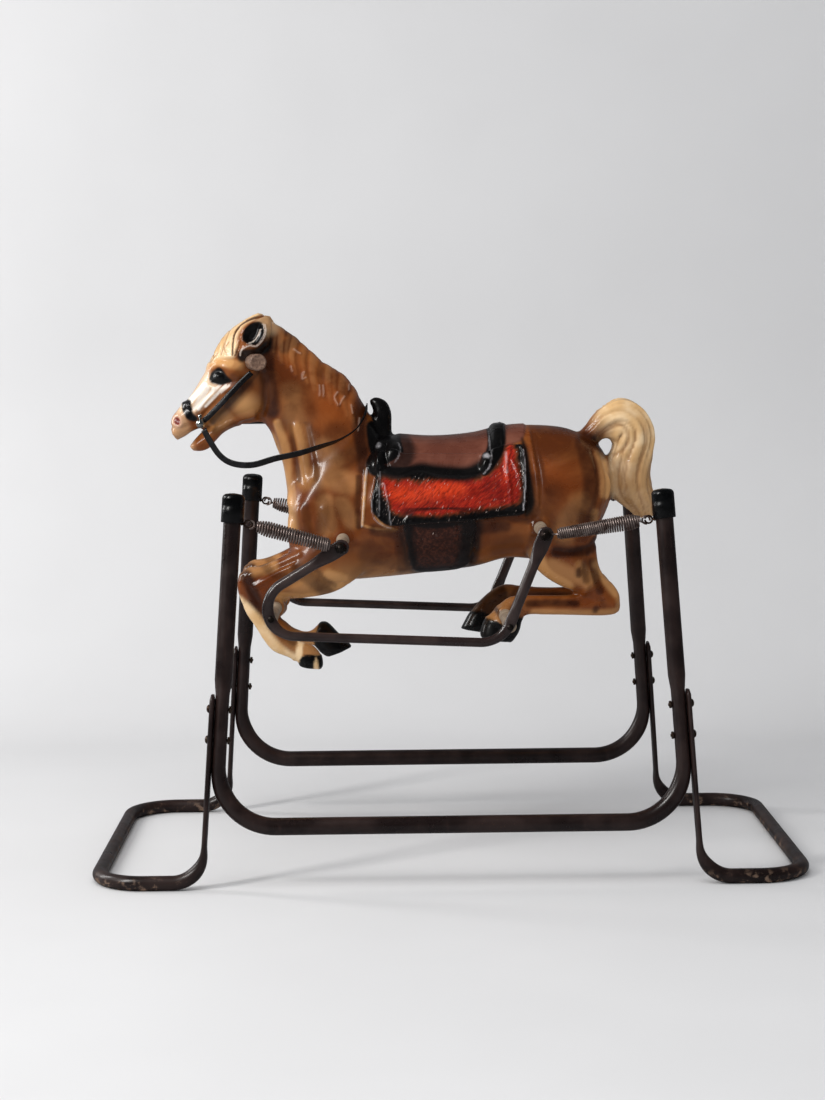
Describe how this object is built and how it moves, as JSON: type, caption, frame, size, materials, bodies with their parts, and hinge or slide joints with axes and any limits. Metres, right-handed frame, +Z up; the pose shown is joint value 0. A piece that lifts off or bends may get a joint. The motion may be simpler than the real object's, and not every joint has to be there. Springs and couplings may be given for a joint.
{
  "type": "spring rocking horse",
  "caption": "Moulded plastic rocking horse hung on coil springs inside a tubular steel stand, with side footrest bars, head handles and a saddle seat.",
  "frame": {"origin": "on the floor, at the middle of the two base frames' footprint", "axes": "+Z up; the horse faces -X; the horse's left side is -Y; the mirror plane of the stand and the moulded body is Y = 0"},
  "size_m": [1.1872, 0.6302, 0.93],
  "materials": {
    "frame_paint": "dark brown gloss enamel on steel tube, worn and spotted with rust",
    "cap_plastic": "black moulded plastic, slightly scuffed",
    "dark_steel": "dull zinc-plated steel, darkened with age",
    "spring_steel": "dark oiled spring wire",
    "spacer_plastic": "grey-beige plastic tube, dull",
    "horse_plastic": "glossy blow-moulded plastic, palomino brown sprayed darker and lighter",
    "handle_wood": "turned wooden peg, greyed, with visible end grain",
    "strap_vinyl": "black vinyl strap, slightly glossy",
    "bright_metal": "bright plated stud"
  },
  "bodies": {
    "stand": {"side_frame_left": "frame_paint", "side_frame_right": "frame_paint", "base_frame_front": "frame_paint", "base_frame_rear": "frame_paint", "post_cap_front_left": "cap_plastic", "post_cap_front_right": "cap_plastic", "post_cap_rear_left": "cap_plastic", "post_cap_rear_right": "cap_plastic", "leg_bolt_lower_front_left": "dark_steel", "leg_bolt_lower_front_right": "dark_steel", "leg_bolt_lower_rear_left": "dark_steel", "leg_bolt_lower_rear_right": "dark_steel", "leg_bolt_upper_front_left": "dark_steel", "leg_bolt_upper_front_right": "dark_steel", "leg_bolt_upper_rear_left": "dark_steel", "leg_bolt_upper_rear_right": "dark_steel", "leg_nut_lower_front_left": "dark_steel", "leg_nut_lower_front_right": "dark_steel", "leg_nut_lower_rear_left": "dark_steel", "leg_nut_lower_rear_right": "dark_steel", "leg_nut_upper_front_left": "dark_steel", "leg_nut_upper_front_right": "dark_steel", "leg_nut_upper_rear_left": "dark_steel", "leg_nut_upper_rear_right": "dark_steel", "screw_eye_front_left": "dark_steel", "screw_eye_front_right": "dark_steel", "screw_eye_rear_left": "dark_steel", "screw_eye_rear_right": "dark_steel", "spring_front_left": "spring_steel", "spring_front_right": "spring_steel", "spring_rear_left": "spring_steel", "spring_rear_right": "spring_steel"},
    "front_rod": {"rod_front_upper": "dark_steel", "dome_nut_front_upper_left": "dark_steel", "dome_nut_front_upper_right": "dark_steel"},
    "horse": {"stirrup_left": "frame_paint", "stirrup_right": "frame_paint", "rod_rear_upper": "dark_steel", "rod_front_lower": "dark_steel", "rod_rear_lower": "dark_steel", "dome_nut_rear_upper_left": "dark_steel", "dome_nut_rear_upper_right": "dark_steel", "spacer_front_upper_left": "spacer_plastic", "spacer_front_upper_right": "spacer_plastic", "spacer_rear_upper_left": "spacer_plastic", "spacer_rear_upper_right": "spacer_plastic", "spacer_front_lower_left": "spacer_plastic", "spacer_front_lower_right": "spacer_plastic", "spacer_rear_lower_left": "spacer_plastic", "spacer_rear_lower_right": "spacer_plastic", "horse_body": "horse_plastic", "handle_left": "handle_wood", "handle_right": "handle_wood", "cheek_strap_left": "strap_vinyl", "cheek_strap_right": "strap_vinyl", "rein": "strap_vinyl", "bit_button_left": "bright_metal", "bit_button_right": "bright_metal"}
  },
  "joints": [
    {"name": "bounce", "type": "slide", "parent": "stand", "child": "front_rod", "axis": [0, 0, 1], "range_m": [-0.1, 0.04], "stiffness_N_per_m": 3300, "springref_m": 0.0222, "deforming": ["spring_front_left", "spring_front_right", "spring_rear_left", "spring_rear_right"]},
    {"name": "pitch", "type": "hinge", "parent": "front_rod", "child": "horse", "pos_m": [-0.175, 0, 0.55], "axis": [0, 1, 0], "range_deg": [-8, 8], "stiffness_Nm_per_rad": 184, "springref_deg": -2.57, "deforming": ["spring_rear_left", "spring_rear_right"]}
  ]
}
